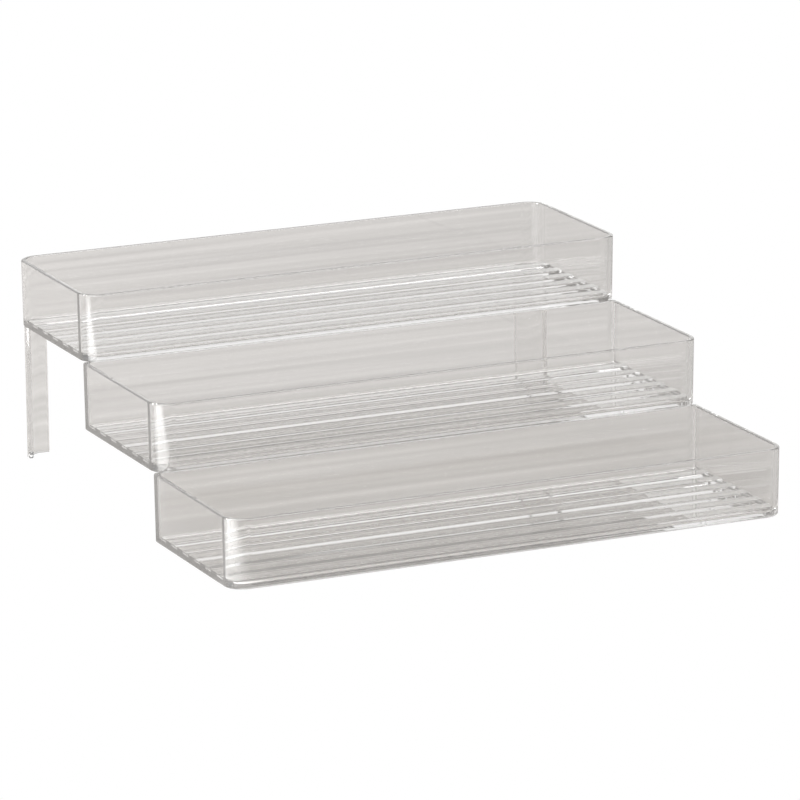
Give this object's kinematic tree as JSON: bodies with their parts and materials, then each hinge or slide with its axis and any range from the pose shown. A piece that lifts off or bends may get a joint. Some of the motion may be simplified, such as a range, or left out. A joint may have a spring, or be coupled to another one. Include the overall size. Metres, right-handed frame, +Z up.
{
  "type": "cosmetic display organizer",
  "caption": "Free-standing stair of open clear plastic trays with ribbed floors and rounded corners, carried at the back by corner legs, for showing and sorting cosmetics.",
  "frame": {"origin": "on the table, under the middle of the footprint", "axes": "+X to the user's right along the trays, +Y to the back where the stair is highest, +Z up"},
  "size_m": [0.3, 0.28, 0.105],
  "materials": {
    "clear_plastic": "clear moulded plastic, polished"
  },
  "bodies": {
    "root": {"bottom_tray": "clear_plastic", "middle_tray": "clear_plastic", "top_tray": "clear_plastic", "left_rear_leg": "clear_plastic", "right_rear_leg": "clear_plastic"}
  },
  "joints": []
}
